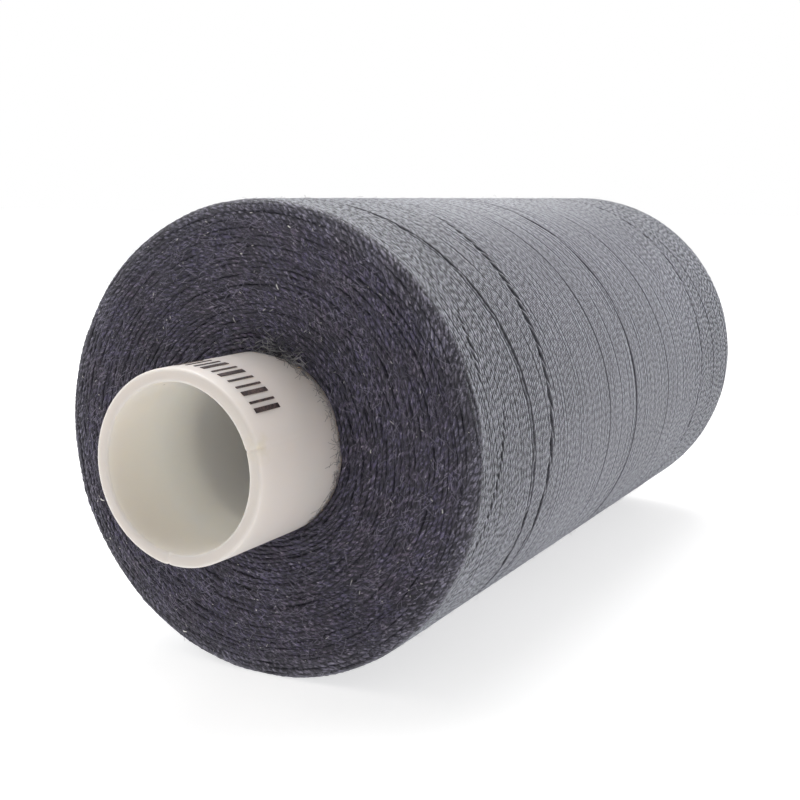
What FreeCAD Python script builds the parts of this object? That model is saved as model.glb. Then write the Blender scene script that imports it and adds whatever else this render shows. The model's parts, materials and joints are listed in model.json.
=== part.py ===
import FreeCAD, Part
import math
import os
import Sketcher

# A spool of sewing thread that lies on its side: a straight plastic tube, wound with one long
# polyester yarn whose package is a parallel cylinder with flat, slightly dished ends.
#
# Frame: millimetres, +Z up. The tube's axis runs along Y, and the printed end faces -Y.
# The origin is on the floor, under the middle of the spool.

OUT_DIR = "parts"

# Driving dimensions, in millimetres unless the name says degrees.
DIMENSIONS = {
    "tube_length": 75.0,
    "tube_outer_dia": 11.6,
    "tube_bore_dia": 10.0,
    "lip_radius": 0.22,
    "bore_edge_chamfer": 0.12,
    "package_length": 59.0,
    "package_dia": 30.0,
    "late_layers_thickness": 0.8,
    "end_dish_depth": 0.35,
    "end_crown_dia": 24.4,
    "late_layers_setback": 0.25,
    "winding_clearance": 0.02,
    "nick_width": 0.3,
    "nick_depth": 0.15,
    "first_nick_degrees": 17.0,
    "second_nick_degrees": 262.0,
    "mark_film": 0.03,
    "mark_height": 2.4,
    "mark_rim_gap": 1.3,
    "mark_first_degrees": 36.0,
    "mark_pitch_degrees": 6.0,
}

# Angle that each printed bar covers on the tube, in steps of a quarter of the pitch.
# The row is an even dash pattern that says nothing.
MARK_STEPS_PER_PITCH = 4
MARK_STEPS = (2, 1, 2, 1, 1, 2, 1, 2, 1, 1, 2)

doc = FreeCAD.newDocument("thread_spool")


def make_sheet():
    """Put the driving dimensions in a spreadsheet, one named cell each."""
    sheet = doc.addObject("Spreadsheet::Sheet", "dims")
    for row, (name, value) in enumerate(DIMENSIONS.items(), start=1):
        sheet.set("A%d" % row, name)
        sheet.set("B%d" % row, str(value))
        sheet.setAlias("B%d" % row, name)
    doc.recompute()
    return sheet


def new_body(label):
    """Start a body that turns about the spool's axis and sits at the axis height."""
    body = doc.addObject("PartDesign::Body", label)
    body.Label = label
    body.setExpression("Placement.Base.z", "dims.package_dia / 2")
    return body


def origin_plane(body, role):
    for feature in body.Origin.OriginFeatures:
        if feature.Role == role:
            return feature
    raise ValueError("no origin plane " + role)


def sketch_on(body, role, name):
    sketch = body.newObject("Sketcher::SketchObject", name)
    sketch.AttachmentSupport = [(origin_plane(body, role), "")]
    sketch.MapMode = "FlatFace"
    return sketch


def closed_outline(sketch, corners):
    """Draw straight edges through the corners and bind each corner to its two expressions.

    A corner is (radius, station, radius expression, station expression): the radius is measured
    from the spool's axis and the station along it, from the middle of the spool.
    """
    count = len(corners)
    for index in range(count):
        here = corners[index]
        there = corners[(index + 1) % count]
        start = FreeCAD.Vector(here[0], here[1], 0)
        end = FreeCAD.Vector(there[0], there[1], 0)
        sketch.addGeometry(Part.LineSegment(start, end), False)
    for index in range(count):
        sketch.addConstraint(Sketcher.Constraint("Coincident", index, 2, (index + 1) % count, 1))
    for index, (radius, station, radius_text, station_text) in enumerate(corners):
        across = sketch.addConstraint(Sketcher.Constraint("DistanceX", -1, 1, index, 1, radius))
        sketch.setExpression("Constraints[%d]" % across, radius_text)
        along = sketch.addConstraint(Sketcher.Constraint("DistanceY", -1, 1, index, 1, station))
        sketch.setExpression("Constraints[%d]" % along, station_text)


def turned(body, sketch, name):
    """Revolve a sketch about the spool's axis."""
    feature = body.newObject("PartDesign::Revolution", name)
    feature.Profile = sketch
    feature.ReferenceAxis = (sketch, ["V_Axis"])
    feature.Angle = 360.0
    sketch.Visibility = False
    doc.recompute()
    return feature


def ring_edges(shape, radius, tolerance=0.01):
    """Names of the round edges of one radius about the spool's axis."""
    found = []
    for number, edge in enumerate(shape.Edges, start=1):
        curve = edge.Curve
        if isinstance(curve, Part.Circle) and abs(curve.Radius - radius) < tolerance:
            found.append("Edge%d" % number)
    return found


def make_core_tube():
    """The moulded tube: plain bore, rounded outer lips, and two moulding nicks in the front rim."""
    body = new_body("core_tube")
    half = DIMENSIONS["tube_length"] / 2
    inner = DIMENSIONS["tube_bore_dia"] / 2
    outer = DIMENSIONS["tube_outer_dia"] / 2
    sketch = sketch_on(body, "XY_Plane", "tube_section")
    closed_outline(sketch, [
        (inner, -half, "dims.tube_bore_dia / 2", "-dims.tube_length / 2"),
        (outer, -half, "dims.tube_outer_dia / 2", "-dims.tube_length / 2"),
        (outer, half, "dims.tube_outer_dia / 2", "dims.tube_length / 2"),
        (inner, half, "dims.tube_bore_dia / 2", "dims.tube_length / 2"),
    ])
    wall = turned(body, sketch, "tube_wall")

    lips = body.newObject("PartDesign::Fillet", "outer_lips")
    lips.Base = (wall, ring_edges(wall.Shape, outer))
    lips.setExpression("Radius", "dims.lip_radius")
    doc.recompute()

    bevels = body.newObject("PartDesign::Chamfer", "bore_edges")
    bevels.Base = (lips, ring_edges(lips.Shape, inner))
    bevels.setExpression("Size", "dims.bore_edge_chamfer")
    doc.recompute()

    for number, angle_name in enumerate(("first_nick_degrees", "second_nick_degrees"), start=1):
        volume_before = body.Shape.Volume
        nick = body.newObject("PartDesign::SubtractiveBox", "rim_nick_%d" % number)
        # The box lies along the tube's radius, across the wall, and sinks into the rim.
        nick.setExpression("Length", "dims.tube_outer_dia / 2")
        nick.setExpression("Width", "2 * dims.nick_depth")
        nick.setExpression("Height", "dims.nick_width")
        turn = math.radians(DIMENSIONS[angle_name])
        sideways = FreeCAD.Vector(math.sin(turn), 0, -math.cos(turn))
        corner = sideways * (DIMENSIONS["nick_width"] / 2)
        corner += FreeCAD.Vector(math.cos(turn), 0, math.sin(turn)) * (0.6 * outer)
        corner.y = -half - DIMENSIONS["nick_depth"]
        rotation = FreeCAD.Rotation(FreeCAD.Vector(0, 1, 0), -DIMENSIONS[angle_name])
        nick.Placement = FreeCAD.Placement(corner, rotation)
        doc.recompute()
        if body.Shape.Volume >= volume_before:
            raise ValueError("the rim nick cuts nothing")
    return body


def make_early_layers():
    """The bulk of the yarn, wound first: its two end faces show the reversals of every layer."""
    body = new_body("thread_early_layers")
    half = DIMENSIONS["package_length"] / 2
    foot = DIMENSIONS["tube_outer_dia"] / 2 + DIMENSIONS["winding_clearance"]
    crown = DIMENSIONS["end_crown_dia"] / 2
    rim = DIMENSIONS["package_dia"] / 2 - DIMENSIONS["late_layers_thickness"]
    dish = DIMENSIONS["end_dish_depth"]
    setback = DIMENSIONS["late_layers_setback"]
    foot_text = "dims.tube_outer_dia / 2 + dims.winding_clearance"
    crown_text = "dims.end_crown_dia / 2"
    rim_text = "dims.package_dia / 2 - dims.late_layers_thickness"
    sketch = sketch_on(body, "XY_Plane", "early_section")
    closed_outline(sketch, [
        (foot, dish - half, foot_text, "dims.end_dish_depth - dims.package_length / 2"),
        (crown, -half, crown_text, "-dims.package_length / 2"),
        (rim, setback - half, rim_text, "dims.late_layers_setback - dims.package_length / 2"),
        (rim, half - setback, rim_text, "dims.package_length / 2 - dims.late_layers_setback"),
        (crown, half, crown_text, "dims.package_length / 2"),
        (foot, half - dish, foot_text, "dims.package_length / 2 - dims.end_dish_depth"),
    ])
    turned(body, sketch, "early_winding")
    return body


def make_late_layers():
    """The last layers of the same yarn: the flank that shows, with both shoulders rounded."""
    body = new_body("thread_late_layers")
    half = DIMENSIONS["package_length"] / 2
    outer = DIMENSIONS["package_dia"] / 2
    inner = outer - DIMENSIONS["late_layers_thickness"]
    setback = DIMENSIONS["late_layers_setback"]
    outer_text = "dims.package_dia / 2"
    inner_text = "dims.package_dia / 2 - dims.late_layers_thickness"
    near_text = "dims.late_layers_setback - dims.package_length / 2"
    far_text = "dims.package_length / 2 - dims.late_layers_setback"
    sketch = sketch_on(body, "XY_Plane", "late_section")
    closed_outline(sketch, [
        (inner, setback - half, inner_text, near_text),
        (outer, setback - half, outer_text, near_text),
        (outer, half - setback, outer_text, far_text),
        (inner, half - setback, inner_text, far_text),
    ])
    shell = turned(body, sketch, "late_winding")
    shoulders = body.newObject("PartDesign::Fillet", "rounded_shoulders")
    shoulders.Base = (shell, ring_edges(shell.Shape, outer))
    shoulders.setExpression("Radius", "dims.late_layers_thickness * 0.95")
    doc.recompute()
    return body


def ring_piece(name, start_degrees, sweep_degrees):
    """One printed bar: a thin piece of ring on the tube, near the front rim."""
    outer = doc.addObject("Part::Cylinder", name + "_outer")
    outer.setExpression("Radius", "dims.tube_outer_dia / 2 + dims.mark_film")
    inner = doc.addObject("Part::Cylinder", name + "_inner")
    inner.setExpression("Radius", "dims.tube_outer_dia / 2")
    for part in (outer, inner):
        part.setExpression("Height", "dims.mark_height")
        part.Angle = sweep_degrees
        # Turned from +Z to +Y about X, so that its angle counts from +X towards +Z.
        lying = FreeCAD.Rotation(FreeCAD.Vector(1, 0, 0), 90)
        around = FreeCAD.Rotation(FreeCAD.Vector(0, 1, 0), -start_degrees)
        part.Placement = FreeCAD.Placement(FreeCAD.Vector(), around * lying)
        part.setExpression(
            "Placement.Base.y", "dims.mark_rim_gap + dims.mark_height - dims.tube_length / 2")
        part.setExpression("Placement.Base.z", "dims.package_dia / 2")
    bar = doc.addObject("Part::Cut", name)
    bar.Base = outer
    bar.Tool = inner
    return bar


def make_print_marks():
    """The printed row of bars near the front rim, as thin films of ink on the tube."""
    step = DIMENSIONS["mark_pitch_degrees"] / MARK_STEPS_PER_PITCH
    bars = []
    for number, steps in enumerate(MARK_STEPS):
        start = DIMENSIONS["mark_first_degrees"] + number * DIMENSIONS["mark_pitch_degrees"]
        bars.append(ring_piece("bar_%d" % (number + 1), start, steps * step))
    marks = doc.addObject("Part::Compound", "print_marks")
    marks.Label = "print_marks"
    marks.Links = bars
    doc.recompute()
    return marks


def write_node(feature):
    """Check one finished sub-part and write it to its own file."""
    for state in ("Invalid", "Error"):
        if state in feature.State:
            raise ValueError(feature.Label + " is " + state)
    shape = feature.Shape
    if shape.isNull() or not shape.isValid() or not shape.Solids:
        raise ValueError(feature.Label + " has no valid solid")
    shape.exportStep(os.path.join(OUT_DIR, feature.Label + ".step"))
    print(feature.Label, len(shape.Solids), round(shape.Volume, 2), shape.BoundBox)


os.makedirs(OUT_DIR, exist_ok=True)
make_sheet()
nodes = [make_core_tube(), make_print_marks(), make_early_layers(), make_late_layers()]
doc.recompute()
for node in nodes:
    write_node(node)
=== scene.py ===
import json
import math
import bpy
import numpy as np
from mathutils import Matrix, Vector


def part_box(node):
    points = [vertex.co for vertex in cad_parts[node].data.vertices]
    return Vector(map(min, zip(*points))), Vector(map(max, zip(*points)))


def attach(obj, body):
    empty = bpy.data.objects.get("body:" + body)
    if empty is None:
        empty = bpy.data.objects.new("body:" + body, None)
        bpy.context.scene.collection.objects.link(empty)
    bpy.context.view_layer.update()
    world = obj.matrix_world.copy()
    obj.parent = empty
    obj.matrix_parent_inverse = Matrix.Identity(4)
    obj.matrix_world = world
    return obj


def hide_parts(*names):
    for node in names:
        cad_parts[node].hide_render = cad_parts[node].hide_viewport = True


# A spool of dark sewing thread lying on its side. The yarn is laid as a winder lays it: turns
# that cross at a small angle on the flank, and reversal arcs stacked in rings on both ends.
# Metres throughout; the spool's axis runs along Y and the printed end faces -Y.

MM = 0.001
RANDOM = np.random.default_rng(65)

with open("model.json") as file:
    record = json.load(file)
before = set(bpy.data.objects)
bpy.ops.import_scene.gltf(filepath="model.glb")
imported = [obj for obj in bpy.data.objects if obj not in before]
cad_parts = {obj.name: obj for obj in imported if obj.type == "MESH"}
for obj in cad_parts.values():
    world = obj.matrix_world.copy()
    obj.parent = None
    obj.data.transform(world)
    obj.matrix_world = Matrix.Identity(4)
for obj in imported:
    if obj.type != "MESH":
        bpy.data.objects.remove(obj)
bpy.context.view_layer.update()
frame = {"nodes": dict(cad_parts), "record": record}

# Sizes and places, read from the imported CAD.
LATE_LOW, LATE_HIGH = (np.array(corner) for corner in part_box("thread_late_layers"))
EARLY_LOW, EARLY_HIGH = (np.array(corner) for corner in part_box("thread_early_layers"))
TUBE_LOW, TUBE_HIGH = (np.array(corner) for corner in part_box("core_tube"))
PACKAGE_R = (LATE_HIGH[0] - LATE_LOW[0]) / 2
HALF_PACKAGE = (EARLY_HIGH[1] - EARLY_LOW[1]) / 2
HALF_TUBE = (TUBE_HIGH[1] - TUBE_LOW[1]) / 2
TUBE_R = (TUBE_HIGH[0] - TUBE_LOW[0]) / 2
MOUNTS = {mount["name"]: mount for mount in frame["record"]["mounts"]}
BORE_R = MOUNTS["spool_pin_bore"]["dims"]["r_mm"] * MM
AXIS_Z = MOUNTS["spool_pin_bore"]["pos_m"][2]

# The yarn and how it is wound.
YARN_WIDTH = 0.27 * MM
YARN_HEIGHT = 0.19 * MM
LAYER_STEP = 0.15 * MM
TURNS_PER_CYCLE = 8
CYCLES = 55
EXTRA_GAP = 0.7
NEWEST_EDGE_SHARE = 0.145
REVERSAL_HALF_ANGLE = 0.5
TWIST_LENGTH = 1.1 * MM
# How far the two plies of an end's yarn stand out of a round section.
END_PLIES = 0.20

# The end faces: a shallow dish at the tube, a crown, and a slight fall towards the edge.
# The package's radius differs a little from the CAD's at its front and back ends.
DISH_DEPTH = 0.35 * MM
CROWN_R = 12.2 * MM
EDGE_FALL = 0.34 * MM
SHOULDER_R = 0.65 * MM
FRONT_FULLNESS = 0.15 * MM
BACK_SLACKNESS = 0.18 * MM
# Turns stand out round within the edge zone and lie packed flat beyond the flat zone.
EDGE_ZONE = 3 * MM
FLAT_ZONE = 19 * MM
# The lowest turns are pressed flat where the package rests.
REST_HEIGHT = 0.01 * MM

# The tube's edges: their roundings, and where the mould left two nicks in the front rim.
LIP_R = 0.24 * MM
BORE_EDGE_R = 0.16 * MM
NICK_DEGREES = (17.0, 262.0)

# The two ends of the package, and which way along Y each one faces.
ENDS = (("front", -1), ("back", 1))
# In radians.
FULL_TURN = 2 * math.pi

# The yarn's colours: painted shade in its dips, painted light on its crests and painted glints
# where a fibre catches the light. The flank's crest colour is far lighter than the ends' on the
# same yarn: painted sheen.
END_DARK = (0.012, 0.010, 0.019, 1)
END_LIGHT = (0.094, 0.078, 0.156, 1)
END_WARM = (0.104, 0.078, 0.130, 1)
END_GLINT = (0.75, 0.70, 0.78, 1)
FLANK_DARK = (0.008, 0.007, 0.012, 1)
FLANK_SHEEN_LIGHT = (0.340, 0.330, 0.410, 1)
FLANK_GLINT = (0.95, 0.95, 0.98, 1)


# ---------------------------------------------------------------- meshes

def add_mesh(name, vertices, loops, starts):
    """A smooth-shaded mesh object from flat arrays of corners."""
    mesh = bpy.data.meshes.new(name)
    mesh.vertices.add(len(vertices))
    mesh.vertices.foreach_set("co", np.ascontiguousarray(vertices, np.float32).ravel())
    mesh.loops.add(len(loops))
    mesh.loops.foreach_set("vertex_index", np.ascontiguousarray(loops, np.int32))
    mesh.polygons.add(len(starts))
    mesh.polygons.foreach_set("loop_start", np.ascontiguousarray(starts, np.int32))
    mesh.update(calc_edges=True)
    mesh.polygons.foreach_set("use_smooth", np.ones(len(starts), bool))
    piece = bpy.data.objects.new(name, mesh)
    bpy.context.scene.collection.objects.link(piece)
    return piece


def add_uv(piece, name, coordinates):
    layer = piece.data.uv_layers.new(name=name, do_init=False)
    layer.uv.foreach_set("vector", np.ascontiguousarray(coordinates, np.float32).ravel())


def unit(vectors):
    return vectors / np.maximum(np.linalg.norm(vectors, axis=-1, keepdims=True), 1e-12)


def strands(name, paths, outward, width, height, corners, tones, lobes=0.0):
    """Closed yarn strands along paths of shape (strands, points, 3).

    outward points away from the package at each path point. width and height are full sizes,
    and lobes is how far the two plies stand out of a round section as they wind round each
    other; all three are numbers or arrays of shape (strands, points). The map called Yarn
    counts twists along a strand and goes once round it; OFBake lays all strands out in rows.
    """
    count, points = paths.shape[:2]
    tangent = unit(np.gradient(paths, axis=1))
    side = unit(np.cross(tangent, outward))
    up = np.cross(side, tangent)
    # More corners above than below, because the underside is never seen.
    upper = corners - 2
    turn = np.concatenate([np.linspace(8, 172, upper), [232, 308]]) * math.pi / 180
    half_width = np.broadcast_to(np.asarray(width) / 2, (count, points))[..., None, None]
    half_height = np.broadcast_to(np.asarray(height) / 2, (count, points))[..., None, None]
    steps = np.linalg.norm(np.diff(paths, axis=1), axis=-1)
    along = np.concatenate([np.zeros((count, 1)), np.cumsum(steps, axis=1)], axis=1)
    twists = along / TWIST_LENGTH + RANDOM.uniform(0, 1, (count, 1))
    twists = twists + wander(along, 0.25, 8 * MM, 3)
    plies = 1 + np.broadcast_to(lobes, (count, points))[..., None, None] * np.cos(
        2 * (turn + FULL_TURN * twists[..., None]))[..., None]
    across = side[:, :, None, :] * np.cos(turn)[None, None, :, None] * half_width * plies
    above = up[:, :, None, :] * np.sin(turn)[None, None, :, None] * half_height * plies
    vertices = (paths[:, :, None, :] + across + above).reshape(-1, 3)

    index = np.arange(count * points * corners).reshape(count, points, corners)
    around = np.roll(index, -1, axis=2)
    quads = np.stack([index[:, :-1], around[:, :-1], around[:, 1:], index[:, 1:]], axis=-1)
    first_caps = index[:, 0, ::-1]
    last_caps = index[:, -1]
    loops = np.concatenate([quads.ravel(), first_caps.ravel(), last_caps.ravel()])
    quad_count = count * (points - 1) * corners
    starts = np.concatenate([
        np.arange(quad_count) * 4,
        quad_count * 4 + np.arange(2 * count) * corners,
    ])
    piece = add_mesh(name, vertices, loops, starts)

    # Twists along the strand, and the share of the way round it.
    share = np.append(turn, turn[0] + FULL_TURN) / FULL_TURN
    u_low = np.broadcast_to(twists[:, :-1, None], (count, points - 1, corners))
    u_high = np.broadcast_to(twists[:, 1:, None], (count, points - 1, corners))
    v_low = np.broadcast_to(share[:-1], u_low.shape)
    v_high = np.broadcast_to(share[1:], u_low.shape)
    yarn_map = np.stack([
        np.stack([u_low, v_low], -1), np.stack([u_low, v_high], -1),
        np.stack([u_high, v_high], -1), np.stack([u_high, v_low], -1),
    ], axis=3).reshape(-1, 2)
    caps = np.zeros((2 * count * corners, 2))
    add_uv(piece, "Yarn", np.concatenate([yarn_map, caps]))

    # Rows of equal length on a square image, each row one stretch of strand.
    girth = float(np.mean(width) + np.mean(height)) * math.pi / 2
    rows = max(1, round(math.sqrt(along[:, -1].sum() / girth)))
    columns = math.ceil(count * (points - 1) / rows)
    number = np.arange(count * (points - 1)).reshape(count, points - 1, 1)
    row, column = number // columns, number % columns
    edge = (np.arange(corners + 1) / corners) * 0.92 + 0.04
    left = np.broadcast_to(column / columns, u_low.shape)
    right = left + 1 / columns
    low = (row + edge[None, None, :-1]) / rows
    high = (row + edge[None, None, 1:]) / rows
    bake_map = np.stack([
        np.stack([left, low], -1), np.stack([left, high], -1),
        np.stack([right, high], -1), np.stack([right, low], -1),
    ], axis=3).reshape(-1, 2)
    add_uv(piece, "OFBake", np.concatenate([bake_map, caps + 0.5 / max(rows, columns)]))

    tone = piece.data.attributes.new("tone", "FLOAT", "FACE")
    per_quad = np.repeat(np.asarray(tones, np.float32), (points - 1) * corners)
    per_cap = np.tile(np.asarray(tones, np.float32), 2)
    tone.data.foreach_set("value", np.concatenate([per_quad, per_cap]))
    return piece


def revolved(name, profile, segments, carve=None):
    """A closed body turned about the spool's axis from a closed profile of (radius, y).

    carve may move the vertices, given as arrays of radius, y and angle.
    """
    profile = np.asarray(profile)
    count = len(profile)
    angle = np.arange(segments) * FULL_TURN / segments
    radius = np.broadcast_to(profile[:, 0], (segments, count))
    along = np.broadcast_to(profile[:, 1], (segments, count))
    turn = np.broadcast_to(angle[:, None], (segments, count))
    if carve:
        radius, along = carve(radius, along, turn)
    vertices = on_spool(radius, along, turn).reshape(-1, 3)
    index = np.arange(segments * count).reshape(segments, count)
    next_ring = np.roll(index, -1, axis=0)
    quads = np.stack([
        index, next_ring, np.roll(next_ring, -1, axis=1), np.roll(index, -1, axis=1),
    ], axis=-1).reshape(-1)
    return add_mesh(name, vertices, quads, np.arange(segments * count) * 4)


def on_spool(radius, along, turn):
    """Points at a radius from the spool's axis; turn counts from +X towards +Z."""
    return np.stack([
        radius * np.cos(turn), along + 0 * turn, AXIS_Z + radius * np.sin(turn),
    ], axis=-1)


def nearest(angle):
    """An angle brought within half a turn of zero."""
    return (angle + math.pi) % FULL_TURN - math.pi


def radial(turn):
    """The way straight out from the spool's axis."""
    return np.stack([np.cos(turn), 0 * turn, np.sin(turn)], axis=-1)


def wander(along, strength, longest, waves=6):
    """A smooth random wobble for each strand; along has shape (strands, points)."""
    total = np.zeros_like(along)
    for number in range(waves):
        length = longest / (1.0 + 0.9 * number)
        phase = RANDOM.uniform(0, FULL_TURN, (len(along), 1))
        stretch = RANDOM.uniform(0.8, 1.25, (len(along), 1))
        total += np.sin(FULL_TURN * along * stretch / length + phase) / (1 + 0.5 * number)
    return total * strength / math.sqrt(waves)


def scattered(shape, scale, count):
    """Random sizes about shape * scale millimetres; a low shape spreads them further."""
    return RANDOM.gamma(shape, scale, count) * MM


# ---------------------------------------------------------------- how the yarn lies

def end_depth(radius):
    """How far the end face lies inside the package's end plane at a radius."""
    dish = np.clip((CROWN_R - radius) / (CROWN_R - TUBE_R), 0, 1) * DISH_DEPTH
    fall = np.clip((radius - CROWN_R) / (PACKAGE_R - CROWN_R), 0, 1) ** 2 * EDGE_FALL
    return dish + fall


def package_radius(along):
    """The package is wound a touch fuller towards its front end than towards its back end."""
    return PACKAGE_R + np.interp(
        along, (-HALF_PACKAGE, 0, HALF_PACKAGE), (FRONT_FULLNESS, 0, -BACK_SLACKNESS))


def shoulder_drop(along):
    """How much lower the flank lies close to its two edges, where it is rounded."""
    inset = HALF_PACKAGE - EDGE_FALL - np.abs(along)
    reach = np.clip(1 - inset / SHOULDER_R, 0, 1)
    return SHOULDER_R * (1 - np.sqrt(1 - np.minimum(reach, 0.98) ** 2))


def furrow(along, turn, distance, span, deep, wide, lean=0.0, bow=0.0, middle=0.0):
    """Depth of one furrow between bands of turns.

    distance from the front edge, lean per radian and bow per square radian are in package
    radii, and deep and wide in millimetres. middle and span are angles: a furrow reaches span
    to either side of its middle, and one with a span of 4 goes all the way round.
    """
    away = nearest(turn - middle)
    line = (distance + lean * away + bow * away ** 2) * PACKAGE_R - HALF_PACKAGE
    fade = np.clip(3 * (1 - np.abs(away) / span), 0, 1)
    return fade * deep * MM * np.exp(-(((along - line) / (wide * MM)) ** 2))


def furrows(along, turn):
    """The furrows that show on the flank, as depths below its surface."""
    patchy = 0.85 + 0.25 * np.sin(31 * turn) + 0.20 * np.sin(53 * turn + 1.0)
    newest_edge = patchy * furrow(along, turn, 0.566, lean=-0.157, span=1.6, deep=0.55, wide=0.18)
    near_step = furrow(along, turn, 0.775, lean=-0.004, bow=0.08, span=1.2, deep=0.42, wide=0.18)
    middle_step = furrow(
        along, turn, 1.93, lean=-0.13, bow=0.02, middle=0.26, span=1.6, deep=0.18, wide=0.19)
    far_step = furrow(along, turn, 3.24, middle=0.26, span=4.0, deep=0.15, wide=0.15)
    edge_slip = furrow(
        along, turn, 0.19, lean=0.30, middle=-0.12, span=0.34, deep=0.17, wide=0.11)
    small_slip = furrow(
        along, turn, 0.156, lean=0.19, middle=0.47, span=0.16, deep=0.17, wide=0.11)
    return newest_edge + near_step + middle_step + far_step + edge_slip + small_slip


def stroke_share(step, full):
    """How far along its stroke the guide is, 0 to 1, as the package turns through step."""
    slope = 1 / (full - REVERSAL_HALF_ANGLE)
    bend = slope / (2 * REVERSAL_HALF_ANGLE)
    left = full - step
    share = slope * (step - REVERSAL_HALF_ANGLE / 2)
    share = np.where(step < REVERSAL_HALF_ANGLE, bend * step ** 2, share)
    return np.where(left < REVERSAL_HALF_ANGLE, 1 - bend * left ** 2, share)


def flank_passes(spacing, sunk, towards_front):
    """Paths of every pass of one layer, laid towards the front edge or towards the back one."""
    gap = FULL_TURN / (CYCLES + EXTRA_GAP)
    full = math.pi * TURNS_PER_CYCLE
    points = int(full * PACKAGE_R / spacing) + 1
    step = np.linspace(0, full, points)[None, :] + np.zeros((CYCLES, 1))
    half = HALF_PACKAGE - EDGE_FALL - 0.5 * YARN_WIDTH
    share = stroke_share(step, full)
    sense = -1 if towards_front else 1
    along = sense * half * (2 * share - 1)
    # The turning points are ragged: some passes stop short of the edge.
    ragged = np.abs(RANDOM.normal(0, 0.22 * MM, (2, CYCLES, 1)))
    for edge_side, short in zip((-1, 1), ragged):
        along = along - edge_side * short * np.exp((edge_side * along - half) / (0.5 * MM))
    # The newest pass lies next to the furrow that crosses the middle of the flank.
    newest = full * (1 - NEWEST_EDGE_SHARE) if towards_front else full * NEWEST_EDGE_SHARE
    start = (np.arange(CYCLES)[:, None] + 0.5 + EXTRA_GAP / 2) * gap - newest
    turn = start + step
    length = step * PACKAGE_R
    along = along + wander(length, 0.018 * MM, 13 * MM)
    along = along + RANDOM.normal(0, 0.008 * MM, (CYCLES, 1))
    uneven = wander(length, 0.012 * MM, 7 * MM) + RANDOM.normal(0, 0.008 * MM, (CYCLES, 1))
    radius = package_radius(along) - YARN_HEIGHT / 2 - sunk + np.minimum(uneven, 0.015 * MM)
    radius = radius - shoulder_drop(along) - furrows(along, turn)
    return rest_flat(on_spool(radius, along, turn), YARN_HEIGHT / 2 + sunk), radial(turn)


def rest_flat(paths, clearance):
    """Keep paths at least a clearance above what the package rests on."""
    paths[..., 2] = np.maximum(paths[..., 2], REST_HEIGHT + clearance)
    return paths


def low_discrepancy(count):
    """Evenly scattered pairs between 0 and 1."""
    number = np.arange(count)[:, None]
    return (0.5 + number * np.array([[0.7548776662, 0.5698402910]])) % 1.0


def end_arcs(count, points, end):
    """Reversal arcs on one end face; end is -1 at the front and 1 at the back."""
    scatter = low_discrepancy(count)
    inner = TUBE_R + 0.45 * YARN_WIDTH
    outer = package_radius(end * HALF_PACKAGE) - 1.0 * YARN_WIDTH
    middle_r = np.sqrt(inner ** 2 + scatter[:, 0] * (outer ** 2 - inner ** 2))[:, None]
    middle_turn = (scatter[:, 1] * FULL_TURN)[:, None]
    half = RANDOM.uniform(0.24, 0.40, (count, 1)) * np.sqrt(PACKAGE_R / middle_r)
    away = np.linspace(-1, 1, points)[None, :] * half
    length = away * middle_r + RANDOM.uniform(0, 10 * MM, (count, 1))
    lean = RANDOM.normal(0, 0.30 * MM, (count, 1))
    radius = middle_r + lean * away + wander(length, 0.045 * MM, 5 * MM, 5)
    radius = np.clip(radius, inner, outer)
    sunk = RANDOM.uniform(0.0, 0.16 * MM, (count, 1)) + YARN_HEIGHT / 2
    dive = 1.3 * MM * away ** 2 / REVERSAL_HALF_ANGLE
    depth = end_depth(radius) + sunk + dive + wander(length, 0.018 * MM, 4 * MM, 4)
    along = end * (HALF_PACKAGE - depth)
    turn = middle_turn + away
    outward = np.zeros(turn.shape + (3,))
    outward[..., 1] = end
    # Close to the edge an arc faces half outwards.
    edge = np.clip((radius - (PACKAGE_R - 0.6 * MM)) / (0.5 * MM), 0, 1)[..., None]
    outward = unit(outward + edge * radial(turn))
    return rest_flat(on_spool(radius, along, turn), YARN_WIDTH / 2), outward


def shoulder_arcs(count, points, end):
    """Reversal arcs that wrap the rounded edge between an end face and the flank."""
    across = RANDOM.uniform(0.1, 1.5, (count, 1))
    half = RANDOM.uniform(0.20, 0.38, (count, 1))
    away = np.linspace(-1, 1, points)[None, :] * half
    length = away * PACKAGE_R + RANDOM.uniform(0, 10 * MM, (count, 1))
    tilt = across + RANDOM.normal(0, 0.5, (count, 1)) * away + wander(length, 0.09, 5 * MM, 4)
    bend_r = SHOULDER_R - YARN_HEIGHT / 2 - RANDOM.uniform(0, 0.06 * MM, (count, 1))
    bend_r = bend_r - 0.35 * MM * (away / half) ** 4
    turn = RANDOM.uniform(0, FULL_TURN, (count, 1)) + away
    middle = PACKAGE_R - SHOULDER_R
    radius = package_radius(end * HALF_PACKAGE) - SHOULDER_R + bend_r * np.sin(tilt)
    depth = end_depth(middle) + SHOULDER_R - bend_r * np.cos(tilt)
    outward = np.sin(tilt)[..., None] * radial(turn)
    outward[..., 1] += end * np.cos(tilt)
    paths = on_spool(radius, end * (HALF_PACKAGE - depth), turn)
    return rest_flat(paths, YARN_WIDTH / 2), outward


# ---------------------------------------------------------------- materials

def material(name):
    made = bpy.data.materials.new(name)
    made.use_nodes = True
    made.node_tree.nodes.clear()
    output = made.node_tree.nodes.new("ShaderNodeOutputMaterial")
    shader = made.node_tree.nodes.new("ShaderNodeBsdfPrincipled")
    made.node_tree.links.new(shader.outputs["BSDF"], output.inputs["Surface"])
    return made, made.node_tree, shader


def link(tree, source, target):
    """Join two sockets, or set the target when the source is a plain value."""
    if isinstance(source, bpy.types.NodeSocket):
        tree.links.new(source, target)
    else:
        target.default_value = source


def math_node(tree, operation, first, second=0.0):
    node = tree.nodes.new("ShaderNodeMath")
    node.operation = operation
    link(tree, first, node.inputs[0])
    link(tree, second, node.inputs[1])
    return node.outputs[0]


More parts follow.
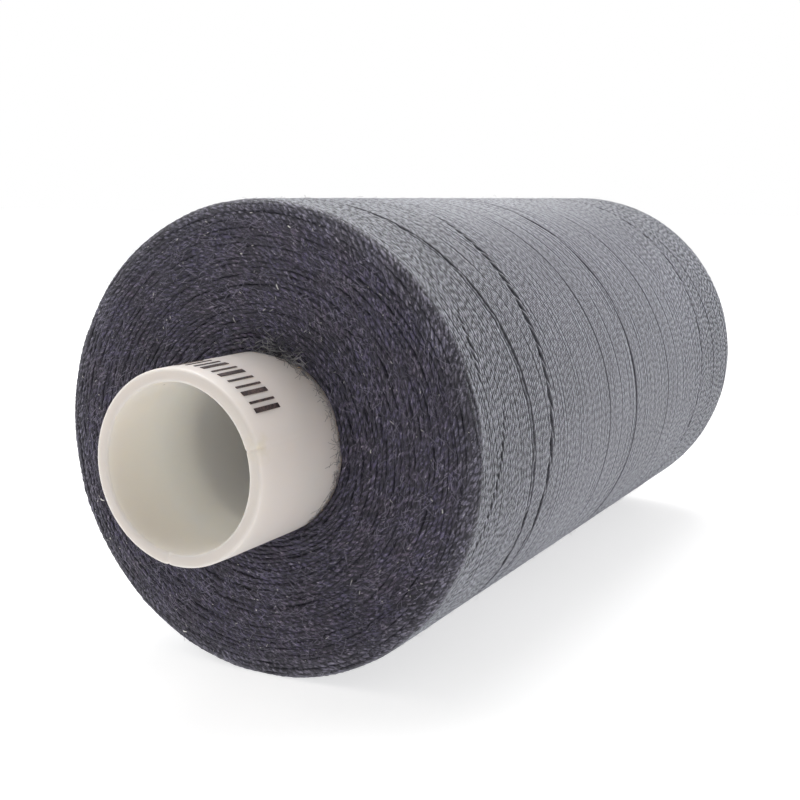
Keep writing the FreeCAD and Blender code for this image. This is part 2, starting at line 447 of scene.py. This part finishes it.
def mix_colour(tree, share, first, second):
    node = tree.nodes.new("ShaderNodeMix")
    node.data_type = "RGBA"
    link(tree, share, node.inputs["Factor"])
    link(tree, first, node.inputs["A"])
    link(tree, second, node.inputs["B"])
    return node.outputs["Result"]


def spread(tree, value, low, high, to_low=0.0, to_high=1.0):
    node = tree.nodes.new("ShaderNodeMapRange")
    link(tree, value, node.inputs["Value"])
    node.inputs["From Min"].default_value = low
    node.inputs["From Max"].default_value = high
    node.inputs["To Min"].default_value = to_low
    node.inputs["To Max"].default_value = to_high
    return node.outputs["Result"]


def noise(tree, vector, scale, detail=3.0, rough=0.55):
    node = tree.nodes.new("ShaderNodeTexNoise")
    node.inputs["Scale"].default_value = scale
    node.inputs["Detail"].default_value = detail
    node.inputs["Roughness"].default_value = rough
    tree.links.new(vector, node.inputs["Vector"])
    return node.outputs["Fac"]


def object_space(tree):
    return tree.nodes.new("ShaderNodeTexCoord").outputs["Object"]


def split(tree, vector):
    """The X, Y and Z of a vector, by name."""
    node = tree.nodes.new("ShaderNodeSeparateXYZ")
    tree.links.new(vector, node.inputs["Vector"])
    return node.outputs


def along_axis(tree, parts):
    """Distance from the middle of the spool, along its axis."""
    return math_node(tree, "ABSOLUTE", parts["Y"])


def off_axis_squared(tree, parts):
    """Square of the distance from the spool's axis."""
    height = math_node(tree, "SUBTRACT", parts["Z"], AXIS_Z)
    return math_node(tree, "ADD", math_node(tree, "POWER", parts["X"], 2.0),
                     math_node(tree, "POWER", height, 2.0))


def bump(tree, shader, height, strength, depth):
    node = tree.nodes.new("ShaderNodeBump")
    link(tree, strength, node.inputs["Strength"])
    node.inputs["Distance"].default_value = depth
    tree.links.new(height, node.inputs["Height"])
    tree.links.new(node.outputs["Normal"], shader.inputs["Normal"])


def flank_share(tree):
    """0 on the end faces and 1 on the flank, turning over on the rounded shoulder."""
    parts = split(tree, object_space(tree))
    uneven = math_node(tree, "MULTIPLY", noise(tree, object_space(tree), 900.0), 0.6 * MM)
    radius = math_node(tree, "ADD", math_node(tree, "SQRT", off_axis_squared(tree, parts)), uneven)
    along = along_axis(tree, parts)
    outside = spread(tree, radius, PACKAGE_R - 1.2 * MM, PACKAGE_R - 0.3 * MM)
    inside = spread(tree, along, HALF_PACKAGE - 0.8 * MM, HALF_PACKAGE - 0.3 * MM, 1.0, 0.4)
    return math_node(tree, "MULTIPLY", outside, inside)


def flatness(tree):
    """How flat the yarn is packed: 0 near the edges of the flank and 1 between them."""
    along = along_axis(tree, split(tree, object_space(tree)))
    return spread(tree, along, HALF_PACKAGE - FLAT_ZONE, HALF_PACKAGE - EDGE_ZONE, 1.0, 0.0)


def yarn_space(tree, lay, twist, tone, across, along, strand):
    """Coordinates that run with one ply; tone sets every strand apart from the next."""
    node = tree.nodes.new("ShaderNodeCombineXYZ")
    tree.links.new(math_node(tree, "MULTIPLY", lay, across), node.inputs["X"])
    tree.links.new(math_node(tree, "MULTIPLY", twist, along), node.inputs["Y"])
    tree.links.new(math_node(tree, "MULTIPLY", tone, strand), node.inputs["Z"])
    return node.outputs["Vector"]


def yarn_material(name, roughness, sheen, specular):
    """Two-ply spun yarn with a Z twist, with painted shade in its dips, painted light on its
    crests and painted glints of fibres along its plies.
    """
    made, tree, shader = material(name)
    yarn_map = tree.nodes.new("ShaderNodeUVMap")
    yarn_map.uv_map = "Yarn"
    parts = split(tree, yarn_map.outputs["UV"])
    twist, round_share = parts["X"], parts["Y"]
    attribute = tree.nodes.new("ShaderNodeAttribute")
    attribute.attribute_name = "tone"
    tone = attribute.outputs["Fac"]
    lay = math_node(tree, "ADD", round_share, twist)
    ply = math_node(tree, "ABSOLUTE", math_node(
        tree, "COSINE", math_node(tree, "MULTIPLY", lay, FULL_TURN)))
    side = math_node(tree, "ABSOLUTE", math_node(
        tree, "COSINE", math_node(tree, "MULTIPLY", round_share, FULL_TURN)))

    # Fibres run along each ply; beads are the stretches of ply that show between its dips.
    fibres = noise(tree, yarn_space(tree, lay, twist, tone, 9.0, 2.2, 60.0), 2.0, 3.0, 0.7)
    beads = noise(tree, yarn_space(tree, lay, twist, tone, 2.0, 1.7, 90.0), 1.6, 1.0, 0.5)
    height = math_node(tree, "ADD", math_node(tree, "MULTIPLY", ply, 0.8), fibres)
    flat = flatness(tree)
    bump(tree, shader, height, spread(tree, flat, 0.0, 1.0, 1.0, 0.4), 0.06 * MM)

    # Painted light on the crests and painted shade in the dips between plies and at the sides of
    # each turn, over random tone per bead, patch and strand.
    places = object_space(tree)
    patches = noise(tree, places, 210.0, 3.0, 0.6)
    swathes = noise(tree, places, 75.0, 1.0, 0.5)
    share = math_node(tree, "MULTIPLY", spread(tree, beads, 0.41, 0.63), 0.8)
    share = math_node(tree, "ADD", share, math_node(
        tree, "MULTIPLY", spread(tree, patches, 0.3, 0.7), 0.2))
    share = math_node(tree, "MULTIPLY", share, spread(tree, tone, 0.0, 1.0, 0.65, 1.15))
    share = math_node(tree, "MULTIPLY", share, spread(tree, ply, 0.2, 0.9, 0.04, 1.0))
    share = math_node(tree, "MULTIPLY", share, spread(tree, side, 0.45, 0.95, 1.0, 0.25))
    # Away from the edges the turns are packed flat, and the painted shade in their dips and the
    # painted light on their crests fade towards one even share.
    calm = tree.nodes.new("ShaderNodeMix")
    link(tree, math_node(tree, "MULTIPLY", flat, 0.8), calm.inputs["Factor"])
    link(tree, share, calm.inputs["A"])
    calm.inputs["B"].default_value = 0.275
    share = math_node(tree, "MULTIPLY", calm.outputs["Result"], spread(
        tree, swathes, 0.35, 0.65, 0.85, 1.12))
    on_flank = flank_share(tree)
    warmth = noise(tree, places, 520.0, 2.0, 0.6)
    light = mix_colour(tree, spread(tree, warmth, 0.42, 0.62), END_LIGHT, END_WARM)
    # On the flank the crests take a far lighter colour than on the ends: painted sheen on the same
    # yarn.
    dark = mix_colour(tree, on_flank, END_DARK, FLANK_DARK)
    light = mix_colour(tree, on_flank, light, FLANK_SHEEN_LIGHT)
    glint_colour = mix_colour(tree, on_flank, END_GLINT, FLANK_GLINT)
    colour = mix_colour(tree, share, dark, light)
    # Painted glints: the lightest fibres on the lit crests turn near white.
    glint = math_node(tree, "MULTIPLY", spread(tree, fibres, 0.56, 0.70), share)
    link(tree, mix_colour(tree, glint, colour, glint_colour), shader.inputs["Base Color"])
    rough = spread(tree, fibres, 0.3, 0.7, roughness - 0.08, roughness + 0.12)
    link(tree, rough, shader.inputs["Roughness"])
    shader.inputs["Specular IOR Level"].default_value = specular
    shader.inputs["Sheen Weight"].default_value = sheen
    shader.inputs["Sheen Roughness"].default_value = 0.35
    shader.inputs["Sheen Tint"].default_value = (0.80, 0.84, 0.92, 1.0)
    return made


def underlay_material():
    """The yarn deep between the turns, in fine dark rings."""
    made, tree, shader = material("yarn_depths")
    places = object_space(tree)
    shade = noise(tree, places, 900.0, 3.0, 0.6)
    colour = mix_colour(
        tree, spread(tree, shade, 0.3, 0.7), (0.010, 0.008, 0.016, 1), (0.050, 0.042, 0.072, 1))
    link(tree, colour, shader.inputs["Base Color"])
    shader.inputs["Roughness"].default_value = 0.9
    bump(tree, shader, shade, 0.6, 0.05 * MM)
    return made


def plastic_material():
    """Satin white moulded plastic, faintly mottled, with rare dark specks, painted lighter deep in
    the bore and painted darker on its rim faces.
    """
    made, tree, shader = material("moulded_plastic")
    places = object_space(tree)
    parts = split(tree, places)
    outside = spread(tree, off_axis_squared(tree, parts), (BORE_R + 0.05 * MM) ** 2,
                     (BORE_R + 0.5 * MM) ** 2)
    cloud = noise(tree, places, 130.0, 2.0, 0.5)
    tint = noise(tree, places, 310.0, 2.0, 0.5)
    skin = mix_colour(tree, spread(tree, cloud, 0.3, 0.7), (0.720, 0.664, 0.634, 1),
                      (0.720, 0.676, 0.641, 1))
    skin = mix_colour(tree, spread(tree, tint, 0.45, 0.75, 0.0, 0.4), skin,
                      (0.710, 0.679, 0.644, 1))
    along = along_axis(tree, parts)
    # Painted light: the bore is coloured lighter from 5 mm in than at its two mouths.
    inside = mix_colour(tree, spread(tree, along, HALF_TUBE - 5 * MM, HALF_TUBE),
                        (0.93, 0.900, 0.850, 1), (0.76, 0.725, 0.680, 1))
    colour = mix_colour(tree, outside, inside, skin)
    # Painted shade: the flat rim faces at both ends are coloured darker than the rest of the
    # plastic.
    rim_painted_shade = spread(tree, along, HALF_TUBE - 0.22 * MM, HALF_TUBE - 0.02 * MM)
    colour = mix_colour(tree, rim_painted_shade, colour, (0.575, 0.535, 0.505, 1))
    # A yellowish stain lies beside the first nick.
    nick = math.radians(NICK_DEGREES[0])
    away = tree.nodes.new("ShaderNodeVectorMath")
    away.operation = "DISTANCE"
    tree.links.new(places, away.inputs[0])
    away.inputs[1].default_value = (TUBE_R * math.cos(nick), 0.5 * MM - HALF_TUBE,
                                    AXIS_Z + TUBE_R * math.sin(nick))
    stain = spread(tree, away.outputs["Value"], 0.2 * MM, 1.1 * MM, 0.5, 0.0)
    stain = math_node(tree, "MULTIPLY", stain, spread(
        tree, noise(tree, places, 1500.0, 2.0, 0.5), 0.35, 0.6))
    colour = mix_colour(tree, stain, colour, (0.62, 0.56, 0.42, 1))
    cells = tree.nodes.new("ShaderNodeTexVoronoi")
    cells.inputs["Scale"].default_value = 420.0
    tree.links.new(places, cells.inputs["Vector"])
    size = noise(tree, places, 95.0, 1.0, 0.5)
    speck = math_node(tree, "LESS_THAN", cells.outputs["Distance"], spread(
        tree, size, 0.50, 0.66, 0.0, 0.05))
    colour = mix_colour(tree, math_node(tree, "MULTIPLY", speck, 0.7), colour,
                        (0.20, 0.18, 0.16, 1))
    link(tree, colour, shader.inputs["Base Color"])
    grain = noise(tree, places, 2600.0, 2.0, 0.5)
    link(tree, spread(tree, cloud, 0.3, 0.7, 0.38, 0.50), shader.inputs["Roughness"])
    swell = noise(tree, places, 260.0, 2.0, 0.5)
    relief = math_node(tree, "ADD", math_node(tree, "MULTIPLY", swell, 3.0), grain)
    bump(tree, shader, relief, 0.25, 0.006 * MM)
    shader.inputs["Specular IOR Level"].default_value = 0.45
    # The wall is thin enough to glow a little where light falls through it.
    shader.inputs["Subsurface Weight"].default_value = 1.0
    shader.inputs["Subsurface Radius"].default_value = (1.0, 0.95, 0.85)
    shader.inputs["Subsurface Scale"].default_value = 1.2 * MM
    return made


def ink_material():
    """Thin ink-jet ink: brown-black, broken where it went on unevenly."""
    made, tree, shader = material("jet_ink")
    places = object_space(tree)
    breaks = noise(tree, places, 5200.0, 2.0, 0.6)
    thin = noise(tree, places, 900.0, 2.0, 0.6)
    amount = math_node(tree, "ADD", breaks, math_node(tree, "MULTIPLY", thin, 0.6))
    colour = mix_colour(tree, spread(tree, amount, 0.70, 1.05), (0.016, 0.008, 0.008, 1),
                        (0.12, 0.075, 0.07, 1))
    link(tree, colour, shader.inputs["Base Color"])
    link(tree, spread(tree, amount, 0.6, 1.1, 0.5, 0.75), shader.inputs["Roughness"])
    return made


def fibre_material(name, dark, light):
    made, tree, shader = material(name)
    shade = noise(tree, object_space(tree), 700.0, 2.0, 0.6)
    link(tree, mix_colour(tree, spread(tree, shade, 0.35, 0.65), dark, light),
         shader.inputs["Base Color"])
    shader.inputs["Roughness"].default_value = 0.55
    return made


# ---------------------------------------------------------------- pieces

def finish_piece(piece, made, slot, *nodes):
    piece.data.materials.append(made)
    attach(piece, "root")
    if nodes:
        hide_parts(*nodes)


def add_tube():
    """The core tube, with softened edges and the two small nicks in its front rim."""
    quarter = np.linspace(0, math.pi / 2, 7)
    stations = (0.02, 0.1, 0.5, 0.9)

    def rounded(wall, inward, size, end):
        """Points round one edge, from the wall to the flat rim."""
        return [(wall + inward * size * (1 - math.sin(a)),
                 end * HALF_TUBE - end * size * (1 - math.cos(a))) for a in quarter]

    def straight(wall, shares):
        return [(wall, share * (2 * HALF_TUBE) - HALF_TUBE) for share in shares]

    profile = rounded(BORE_R, 1, BORE_EDGE_R, -1)[::-1] + rounded(TUBE_R, -1, LIP_R, -1)
    profile += straight(TUBE_R, stations)
    profile += rounded(TUBE_R, -1, LIP_R, 1)[::-1] + rounded(BORE_R, 1, BORE_EDGE_R, 1)
    profile += straight(BORE_R, stations[::-1])

    def carve(radius, along, turn):
        fade = 0.9 * MM
        near_rim = np.clip((LIP_R + fade - (along + HALF_TUBE)) / fade, 0, 1)
        outside = np.clip((radius - TUBE_R + LIP_R) / LIP_R, 0, 1)
        radius, along = radius.copy(), along.copy()
        for degrees in NICK_DEGREES:
            away = nearest(turn - math.radians(degrees))
            notch = np.exp(-((away * TUBE_R / (0.11 * MM)) ** 2))
            along += 0.07 * MM * notch * (along < LIP_R - HALF_TUBE)
            radius -= 0.06 * MM * notch * outside * near_rim
        # A slight step in the lip between the nicks, where the mould's halves met.
        first, second = (math.radians(degrees) for degrees in NICK_DEGREES)
        between = (turn > second) | (turn < first)
        radius -= 0.025 * MM * between * outside * near_rim
        return radius, along

    tube = revolved("tube_shell", profile, 720, carve)
    finish_piece(tube, plastic_material(), "tube_plastic", "core_tube")


def add_underlay():
    """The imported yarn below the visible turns, as one ringed body."""
    sink = 0.30 * MM
    foot = TUBE_R + 0.01 * MM
    rim = PACKAGE_R - 0.48 * MM
    across = np.linspace(foot, rim, 110)
    ribs = 0.05 * MM * np.cos(FULL_TURN * (across - foot) / (0.27 * MM))
    front = [(r, -(HALF_PACKAGE - end_depth(r) - sink - rib)) for r, rib in zip(across, ribs)]
    back = [(r, -y) for r, y in front[::-1]]
    side = [(rim, y) for y in np.linspace(front[-1][1], back[0][1], 90)[1:-1]]
    underlay = revolved("winding_depths", front + side + back, 192)
    finish_piece(underlay, underlay_material(), "thread_ends",
                 "thread_early_layers", "thread_late_layers")


def add_flank(made):
    """The crossing turns of the flank: the last passes on top of the ones before."""
    layers = (
        ("flank_turns", 0.18 * MM, 0.0, True, 6, 9, 0.15),
        ("under_turns", 0.6 * MM, LAYER_STEP, False, 5, 3, 0.0),
    )
    for name, spacing, sunk, towards_front, corners, groups, lobes in layers:
        paths, outward = flank_passes(spacing, sunk, towards_front)
        inset = HALF_PACKAGE - np.abs(paths[..., 1])
        plies = lobes * np.interp(inset, (EDGE_ZONE, FLAT_ZONE), (1.0, 0.4))
        swell = 1 + wander(np.cumsum(np.full(paths.shape[:2], spacing), axis=1), 0.07, 11 * MM)
        tones = RANDOM.uniform(0, 1, len(paths))
        for group, chosen in enumerate(np.array_split(np.arange(len(paths)), groups), start=1):
            piece = strands("%s_%d" % (name, group), paths[chosen], outward[chosen],
                            1.08 * YARN_WIDTH * swell[chosen], YARN_HEIGHT * swell[chosen],
                            corners, tones[chosen], plies[chosen])
            finish_piece(piece, made, "thread_flank")


def add_ends(made):
    """The ringed end faces, as stacked reversal arcs, and the arcs that wrap their edges."""
    count, edge_count, points, groups, corners = 1200, 220, 60, 6, 7
    for label, end in ENDS:
        paths, outward = end_arcs(count, points, end)
        tones = RANDOM.uniform(0, 1, count)
        width = YARN_WIDTH * RANDOM.uniform(0.85, 1.1, (count, 1))
        for group, chosen in enumerate(np.array_split(np.arange(count), groups), start=1):
            piece = strands("%s_rings_%d" % (label, group), paths[chosen], outward[chosen],
                            width[chosen], 0.9 * width[chosen], corners, tones[chosen],
                            END_PLIES)
            finish_piece(piece, made, "thread_ends")
        paths, outward = shoulder_arcs(edge_count, points, end)
        piece = strands(label + "_edge", paths, outward, YARN_WIDTH, YARN_HEIGHT, corners,
                        RANDOM.uniform(0, 1, edge_count), END_PLIES)
        finish_piece(piece, made, "thread_ends")


def add_loose_fibres(name, made, slot, roots, outward, along, length, lift, thickness):
    """Short loose fibres: they leave the surface, lean along it and curl."""
    count, points, corners = len(roots), 6, 4
    axis = np.array([0.0, 0.0, AXIS_Z])
    share = np.linspace(0, 1, points)[None, :, None]
    sideways = unit(np.cross(outward, along))
    lean = RANDOM.normal(0, 0.7, (count, 1, 1))
    bend = RANDOM.normal(0, 0.4, (count, 1, 1))
    heading = unit(along[:, None, :] + lean * sideways[:, None, :])
    reach = length[:, None, None]
    path = roots[:, None, :] + heading * share * reach
    path = path + outward[:, None, :] * (lift[:, None, None] * np.sin(share * math.pi * 0.75))
    path = path + sideways[:, None, :] * bend * reach * share ** 2
    # None of them goes into the tube or below what the package rests on.
    offset = path - axis
    distance = np.hypot(offset[..., 0], offset[..., 2])[..., None]
    offset[..., 0::2] *= np.maximum(distance, TUBE_R + thickness) / distance
    path = offset + axis
    clear = path[..., 2].min(axis=1) > REST_HEIGHT + thickness
    path = path[clear]
    facing = np.broadcast_to(outward[clear][:, None, :], path.shape)
    tones = RANDOM.uniform(0, 1, len(path))
    piece = strands(name, path, facing, thickness, thickness, corners, tones)
    finish_piece(piece, made, slot)


def face_places(end, radius, angle):
    """Places on an end face, with the way out and the way round the spool at each."""
    roots = on_spool(radius, end * (HALF_PACKAGE - end_depth(radius) - 0.02 * MM), angle)
    outward = np.tile([0.0, float(end), 0.0], (len(radius), 1))
    return roots, outward, ring_way(angle)


def ring_way(angle):
    """The way round the spool at an angle, either way at random."""
    way = np.stack([-np.sin(angle), 0 * angle, np.cos(angle)], axis=-1)
    return way * RANDOM.choice([-1, 1], (len(angle), 1))


def add_fuzz():
    """Fine fibre ends that stand off the yarn all over the package."""
    # The fibre ends run from as dark as the yarn to lighter; the lighter shades are painted
    # glints.
    haze = fibre_material("fibre_ends", (0.05, 0.045, 0.070, 1), (0.24, 0.22, 0.29, 1))
    count = 2400
    angle = RANDOM.uniform(0, FULL_TURN, count)
    along = RANDOM.uniform(-1, 1, count) * (HALF_PACKAGE - 0.5 * MM)
    roots = on_spool(package_radius(along) - 0.02 * MM, along, angle)
    length = scattered(3.0, 0.18, count)
    lift = scattered(2.0, 0.04, count)
    add_loose_fibres("flank_fuzz", haze, "thread_flank", roots, radial(angle), ring_way(angle),
                     length, lift, 0.015 * MM)
    for label, end in ENDS:
        count = 4200
        radius = np.sqrt(RANDOM.uniform(TUBE_R ** 2, (PACKAGE_R - 0.9 * MM) ** 2, count))
        places = face_places(end, radius, RANDOM.uniform(0, FULL_TURN, count))
        length = scattered(3.0, 0.14, count)
        lift = scattered(2.0, 0.04, count)
        add_loose_fibres(label + "_fuzz", haze, "thread_ends", *places, length, lift, 0.022 * MM)


def add_lint_and_glints():
    """Pale marks on both end faces, partly lint and partly painted glints of fibres, white specks
    of lint, and a small tangle above the tube in front.
    """
    pale = fibre_material("lint", (0.16, 0.155, 0.17, 1), (0.66, 0.63, 0.62, 1))
    white = fibre_material("white_lint", (0.45, 0.44, 0.43, 1), (0.80, 0.78, 0.75, 1))
    # The pale ones are partly lint caught in the yarn and partly painted glints; the white specks
    # are lint.
    sorts = (("flecks", pale, 230, 0.042 * MM), ("specks", white, 16, 0.075 * MM))
    for label, end in ENDS:
        for sort, made, count, thickness in sorts:
            inner, outer = TUBE_R + MM, PACKAGE_R - 0.3 * MM
            radius = np.sqrt(RANDOM.uniform(inner ** 2, outer ** 2, count))
            places = face_places(end, radius, RANDOM.uniform(0, FULL_TURN, count))
            length = RANDOM.gamma(2.5, 1.07 * thickness, count)
            add_loose_fibres("%s_%s" % (label, sort), made, "thread_ends", *places, length,
                             np.full(count, thickness), thickness)
    count = 85
    front = -1
    above = 1.30
    radius = TUBE_R + np.abs(RANDOM.normal(0.15, 0.45, count)) * MM
    places = face_places(front, radius, RANDOM.normal(above, 0.15, count))
    dull = fibre_material("tangle", (0.06, 0.060, 0.065, 1), (0.32, 0.31, 0.31, 1))
    add_loose_fibres("tangle", dull, "thread_ends", *places, RANDOM.uniform(0.4, 1.2, count) * MM,
                     scattered(2.0, 0.12, count), 0.034 * MM)


def add_stray_fibres():
    """Dark fibre ends that lie on the tube where it comes out of the winding."""
    count = 950
    angle = RANDOM.uniform(0, FULL_TURN, count)
    end = RANDOM.choice([-1.0, 1.0], count)
    beyond = scattered(1.2, 0.16, count) - 0.05 * MM
    roots = on_spool(TUBE_R + 0.012 * MM, end * (HALF_PACKAGE - DISH_DEPTH + beyond), angle)
    slant = RANDOM.normal(0, 1.2, (count, 1))
    heading = unit(slant * ring_way(angle) + np.stack([0 * end, end, 0 * end], axis=-1))
    length = scattered(2.0, 0.20, count)
    dark = fibre_material("stray_ends", (0.030, 0.028, 0.040, 1), (0.11, 0.10, 0.12, 1))
    add_loose_fibres("stray_fibres", dark, "thread_ends", roots, radial(angle), heading, length,
                     scattered(1.5, 0.05, count), 0.018 * MM)


# ---------------------------------------------------------------- setting

def add_floor():
    """A wide pale floor, stage only."""
    half = 1.5
    corners = [(-half, -half, 0), (half, -half, 0), (half, half, 0), (-half, half, 0)]
    mesh = bpy.data.meshes.new("floor")
    mesh.from_pydata(corners, [], [(0, 1, 2, 3)])
    floor = bpy.data.objects.new("floor", mesh)
    bpy.context.scene.collection.objects.link(floor)
    made, _, shader = material("pale_floor")
    shader.inputs["Base Color"].default_value = (0.56, 0.56, 0.56, 1)
    shader.inputs["Roughness"].default_value = 0.8
    shader.inputs["Specular IOR Level"].default_value = 0.2
    shader.inputs["Emission Color"].default_value = (1.0, 1.0, 1.0, 1)
    shader.inputs["Emission Strength"].default_value = 0.63
    mesh.materials.append(made)


def add_light(name, position, target, size, power):
    lamp = bpy.data.lights.new(name, "AREA")
    lamp.shape = "RECTANGLE"
    lamp.size, lamp.size_y = size
    lamp.energy = power
    holder = bpy.data.objects.new(name, lamp)
    bpy.context.scene.collection.objects.link(holder)
    holder.location = position
    aim = Vector(target) - Vector(position)
    holder.rotation_euler = aim.to_track_quat("-Z", "Y").to_euler()


def add_world():
    """A light tent: brighter behind the spool than on the camera's side, white to look at."""
    world = bpy.data.worlds.new("light_tent")
    bpy.context.scene.world = world
    world.use_nodes = True
    tree = world.node_tree
    tree.nodes.clear()
    output = tree.nodes.new("ShaderNodeOutputWorld")
    background = tree.nodes.new("ShaderNodeBackground")
    tree.links.new(background.outputs[0], output.inputs["Surface"])
    background.inputs["Color"].default_value = (1.0, 1.0, 1.0, 1.0)
    ways = split(tree, tree.nodes.new("ShaderNodeTexCoord").outputs["Generated"])
    camera_side, far_side = 0.33, 1.22
    brightness = spread(tree, ways["Y"], -0.4, 0.9, camera_side, far_side)
    path = tree.nodes.new("ShaderNodeLightPath")
    seen = tree.nodes.new("ShaderNodeMix")
    tree.links.new(path.outputs["Is Camera Ray"], seen.inputs["Factor"])
    tree.links.new(brightness, seen.inputs["A"])
    seen.inputs["B"].default_value = 1.0
    tree.links.new(seen.outputs["Result"], background.inputs["Strength"])


def add_camera():
    """The photograph's viewpoint: near the front end, to its right and a little above."""
    azimuth = math.radians(28.0)
    elevation = math.radians(9.2)
    # From the middle of the front end plane, in package radii.
    stand_off = (2.992, -4.355, 1.040)
    camera = bpy.data.cameras.new("camera")
    camera.sensor_width = 36.0
    camera.lens = 58.2
    camera.clip_start = 0.005
    holder = bpy.data.objects.new("camera", camera)
    bpy.context.scene.collection.objects.link(holder)
    holder.location = (stand_off[0] * PACKAGE_R, -HALF_PACKAGE + stand_off[1] * PACKAGE_R,
                       AXIS_Z + stand_off[2] * PACKAGE_R)
    holder.rotation_euler = (math.pi / 2 - elevation, 0.0, azimuth)
    bpy.context.scene.camera = holder


flank_yarn = yarn_material("flank_yarn", 0.40, 1.0, 0.8)
end_yarn = yarn_material("end_yarn", 0.50, 0.12, 0.5)
add_tube()
add_underlay()
add_flank(flank_yarn)
add_ends(end_yarn)
add_fuzz()
add_lint_and_glints()
add_stray_fibres()
frame["nodes"]["print_marks"].data.materials[0] = ink_material()
add_floor()
add_world()
add_light("softbox_top", (-0.05, 0.09, 0.27), (0, 0, AXIS_Z), (0.22, 0.22), 0.66)
add_light("softbox_front", (0.0, -0.42, 0.17), (0, -0.03, AXIS_Z), (0.50, 0.30), 0.27)
add_light("softbox_left", (-0.10, -0.08, 0.10), (0, -0.03, AXIS_Z), (0.07, 0.07), 0.060)
add_camera()
bpy.context.scene.view_settings.view_transform = "Standard"
